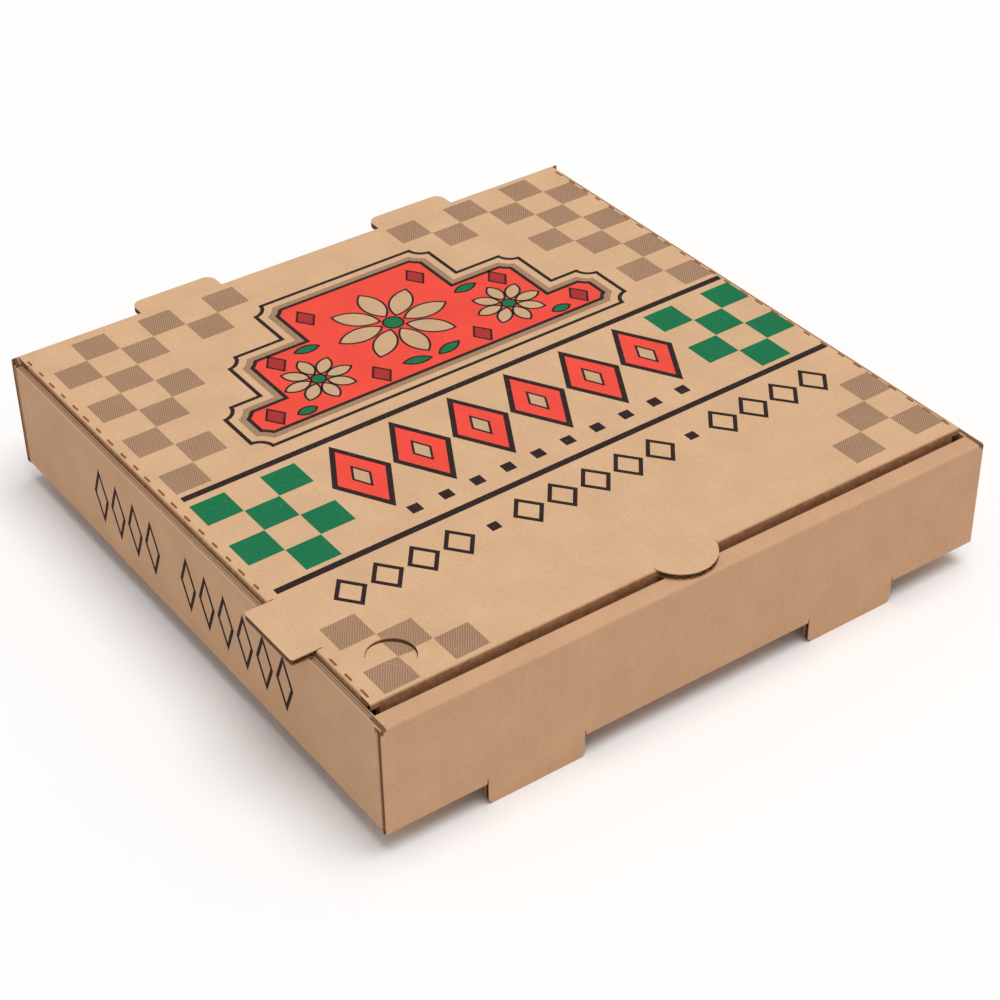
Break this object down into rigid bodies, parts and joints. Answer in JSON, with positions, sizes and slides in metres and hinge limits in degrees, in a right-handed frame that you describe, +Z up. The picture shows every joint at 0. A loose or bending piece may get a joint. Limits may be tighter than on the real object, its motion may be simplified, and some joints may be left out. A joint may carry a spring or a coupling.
{
  "type": "pizza box",
  "caption": "Square folding box of corrugated board with a double front wall, feet, a hinged tuck-in lid with tabs, and a push-in corner vent.",
  "frame": {"origin": "centre of the bottom panel's outer face; the two feet of the front wall reach below it", "axes": "+Z up, -Y towards the opening edge with the thumb tab, +Y towards the hinge fold, +X to the right seen from the front"},
  "size_m": [0.3183, 0.32, 0.0675],
  "materials": {
    "board_tray": "brown kraft corrugated board, plain outside",
    "board_lid": "brown kraft corrugated board, printed outside"
  },
  "bodies": {
    "tray": {"tray": "board_tray"},
    "lid": {"lid": "board_lid"},
    "vent": {"vent_flap": "board_lid"}
  },
  "joints": [
    {"name": "lid_hinge", "type": "hinge", "parent": "tray", "child": "lid", "pos_m": [0, 0.15465, 0.05665], "axis": [-1, 0, 0], "range_deg": [0, 180]},
    {"name": "vent_hinge", "type": "hinge", "parent": "lid", "child": "vent", "pos_m": [-0.13407, -0.12648, 0.057], "axis": [-0.5736, 0.8192, 0], "range_deg": [-7, 63]}
  ]
}
